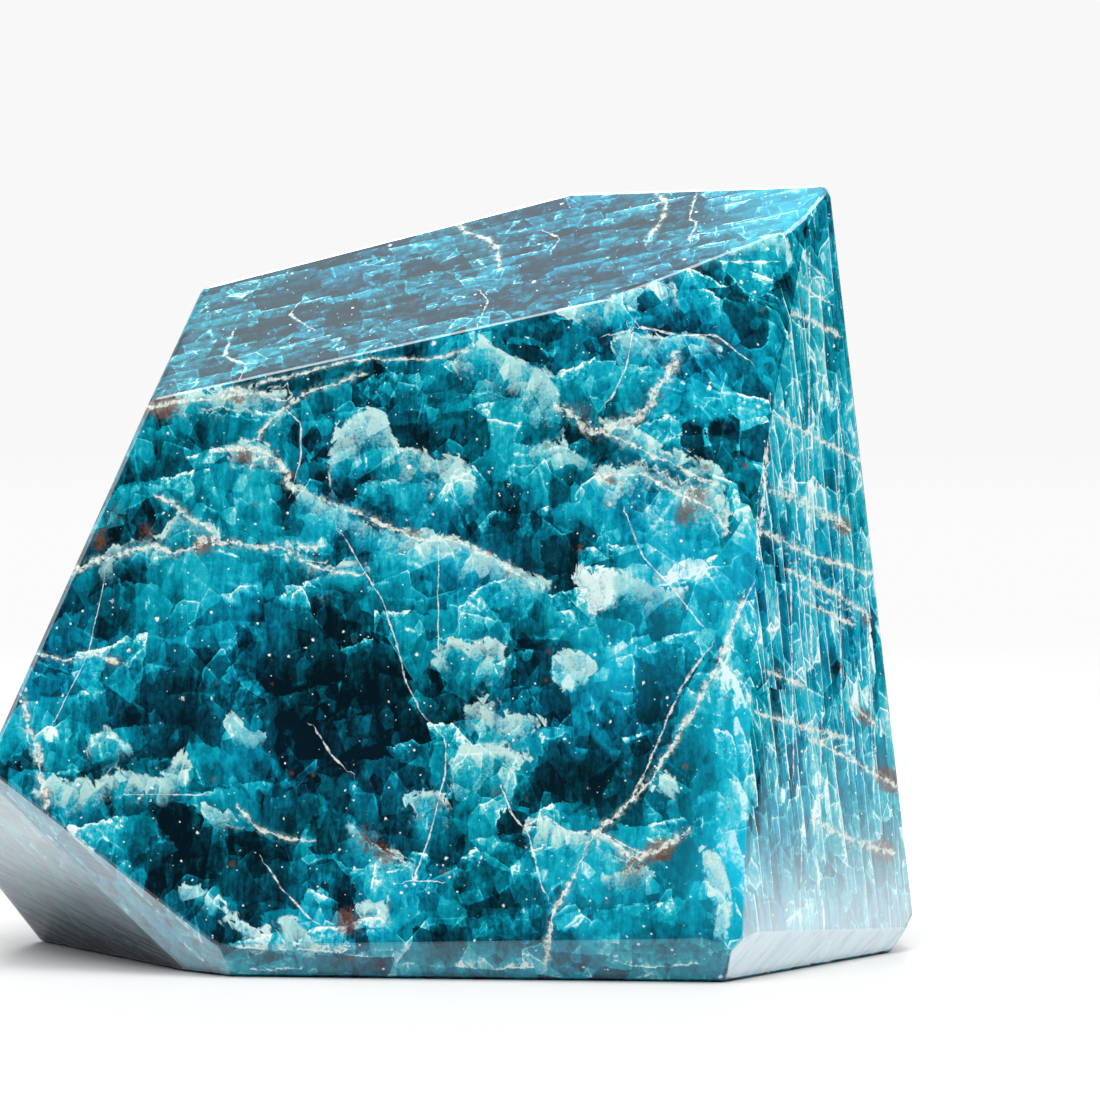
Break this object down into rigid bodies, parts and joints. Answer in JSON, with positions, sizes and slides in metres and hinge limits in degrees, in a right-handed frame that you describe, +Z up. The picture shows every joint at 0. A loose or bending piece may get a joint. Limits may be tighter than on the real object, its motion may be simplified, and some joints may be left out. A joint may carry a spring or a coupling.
{
  "type": "apatite freeform",
  "caption": "Polished natural stone, ground to flat facets with rounded edges: a broad front, a slanting top that rises to one peak, and a flat base it stands on.",
  "frame": {"origin": "middle of the bounding box at the level of the base, where the stone stands", "axes": "+X to the right along the stone's length, towards its peak; -Y to the front, the broad face; +Z up from the base"},
  "size_m": [0.121, 0.0674, 0.0965],
  "materials": {
    "stone": "polished"
  },
  "bodies": {
    "root": {"apatite_freeform": "stone"}
  },
  "joints": []
}
